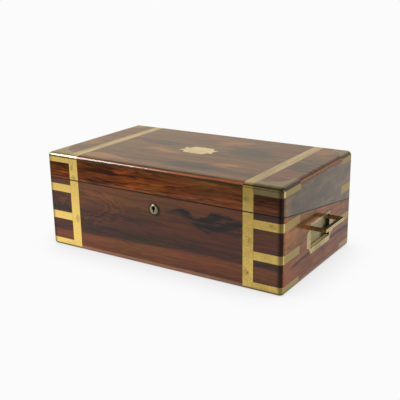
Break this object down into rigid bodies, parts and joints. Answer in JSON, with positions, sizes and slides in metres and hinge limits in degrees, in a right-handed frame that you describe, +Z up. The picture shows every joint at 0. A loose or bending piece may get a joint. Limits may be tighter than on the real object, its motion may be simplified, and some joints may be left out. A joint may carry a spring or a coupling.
{
  "type": "campaign desk",
  "caption": "Portable campaign writing desk: a brass-bound rosewood box whose lid opens flat on a sloping split to a leather writing slope with pen tray, ink bottles and folding handles.",
  "frame": {"origin": "middle of the case's underside, on the surface it stands on", "axes": "+X to the right-hand end along the width, +Y from the keyhole front to the hinged back, +Z up"},
  "size_m": [0.5276, 0.2925, 0.185],
  "materials": {
    "rosewood": "polished",
    "mahogany": "waxed",
    "brass": "aged, polished",
    "steel": "plain",
    "leather": "waxed",
    "ink_glass": "clear"
  },
  "bodies": {
    "base": {"base_front_board": "rosewood", "base_back_board": "rosewood", "base_left_end": "rosewood", "base_right_end": "rosewood", "base_bottom_panel": "rosewood", "base_flap_ledges": "mahogany", "pen_partition": "mahogany", "left_divider": "mahogany", "right_divider": "mahogany", "left_ink_shelf": "mahogany", "right_ink_shelf": "mahogany", "tray_bearers": "mahogany", "pen_tray": "mahogany", "base_front_straps": "brass", "base_back_straps": "brass", "base_front_bands": "brass", "base_back_bands": "brass", "base_foot_caps": "brass", "base_brass_pins": "brass", "keyhole_boss": "brass", "base_hinge_leaves": "brass", "left_handle_plate": "brass", "right_handle_plate": "brass", "left_handle_pins": "brass", "right_handle_pins": "brass", "base_flap_pins": "brass", "left_ink_cap": "brass", "right_ink_cap": "brass", "lock_plate": "brass", "lock_case": "brass", "hinge_pins": "steel", "base_hinge_screws": "steel", "left_ink_bottle": "ink_glass", "right_ink_bottle": "ink_glass"},
    "lid": {"lid_front_board": "rosewood", "lid_back_board": "rosewood", "lid_left_end": "rosewood", "lid_right_end": "rosewood", "lid_top_panel": "rosewood", "lid_flap_ledges": "mahogany", "lid_straps": "brass", "lid_back_bands": "brass", "lid_corner_caps": "brass", "lid_brass_pins": "brass", "lid_name_plate": "brass", "lid_hinge_leaves": "brass", "lid_flap_pins": "brass", "lid_hinge_screws": "steel", "lock_hook_plate": "brass"},
    "base_flap": {"base_flap_board": "mahogany", "base_flap_leather": "leather"},
    "lid_flap": {"lid_flap_board": "mahogany", "lid_flap_leather": "leather"},
    "right_bail": {"right_handle_bail": "brass"},
    "left_bail": {"left_handle_bail": "brass"},
    "lock_bolt": {"lock_bolt": "steel"}
  },
  "joints": [
    {"name": "lid_hinge", "type": "hinge", "parent": "base", "child": "lid", "pos_m": [0, 0.1445, 0.0925], "axis": [-1, 0, 0], "range_deg": [0, 180]},
    {"name": "base_flap_hinge", "type": "hinge", "parent": "base", "child": "base_flap", "pos_m": [0, 0.12143, 0.09047], "axis": [-1, 0, 0], "range_deg": [0, 45]},
    {"name": "lid_flap_hinge", "type": "hinge", "parent": "lid", "child": "lid_flap", "pos_m": [0, 0.12309, 0.10134], "axis": [1, 0, 0], "range_deg": [0, 36]},
    {"name": "right_bail_fold", "type": "hinge", "parent": "base", "child": "right_bail", "pos_m": [0.2468, 0.0045, 0.0855], "axis": [0, 1, 0], "range_deg": [0, 90]},
    {"name": "left_bail_raise", "type": "hinge", "parent": "base", "child": "left_bail", "pos_m": [-0.2468, 0.0045, 0.0855], "axis": [0, 1, 0], "range_deg": [0, 90]},
    {"name": "lock_bolt_slide", "type": "slide", "parent": "base", "child": "lock_bolt", "axis": [1, 0, 0], "range_m": [0, 0.0055]}
  ],
  "couplings": [
    {"joint": "base_flap_hinge", "follows": "lid_hinge", "ratio": 0.25},
    {"joint": "lid_flap_hinge", "follows": "lid_hinge", "ratio": 0.2}
  ]
}
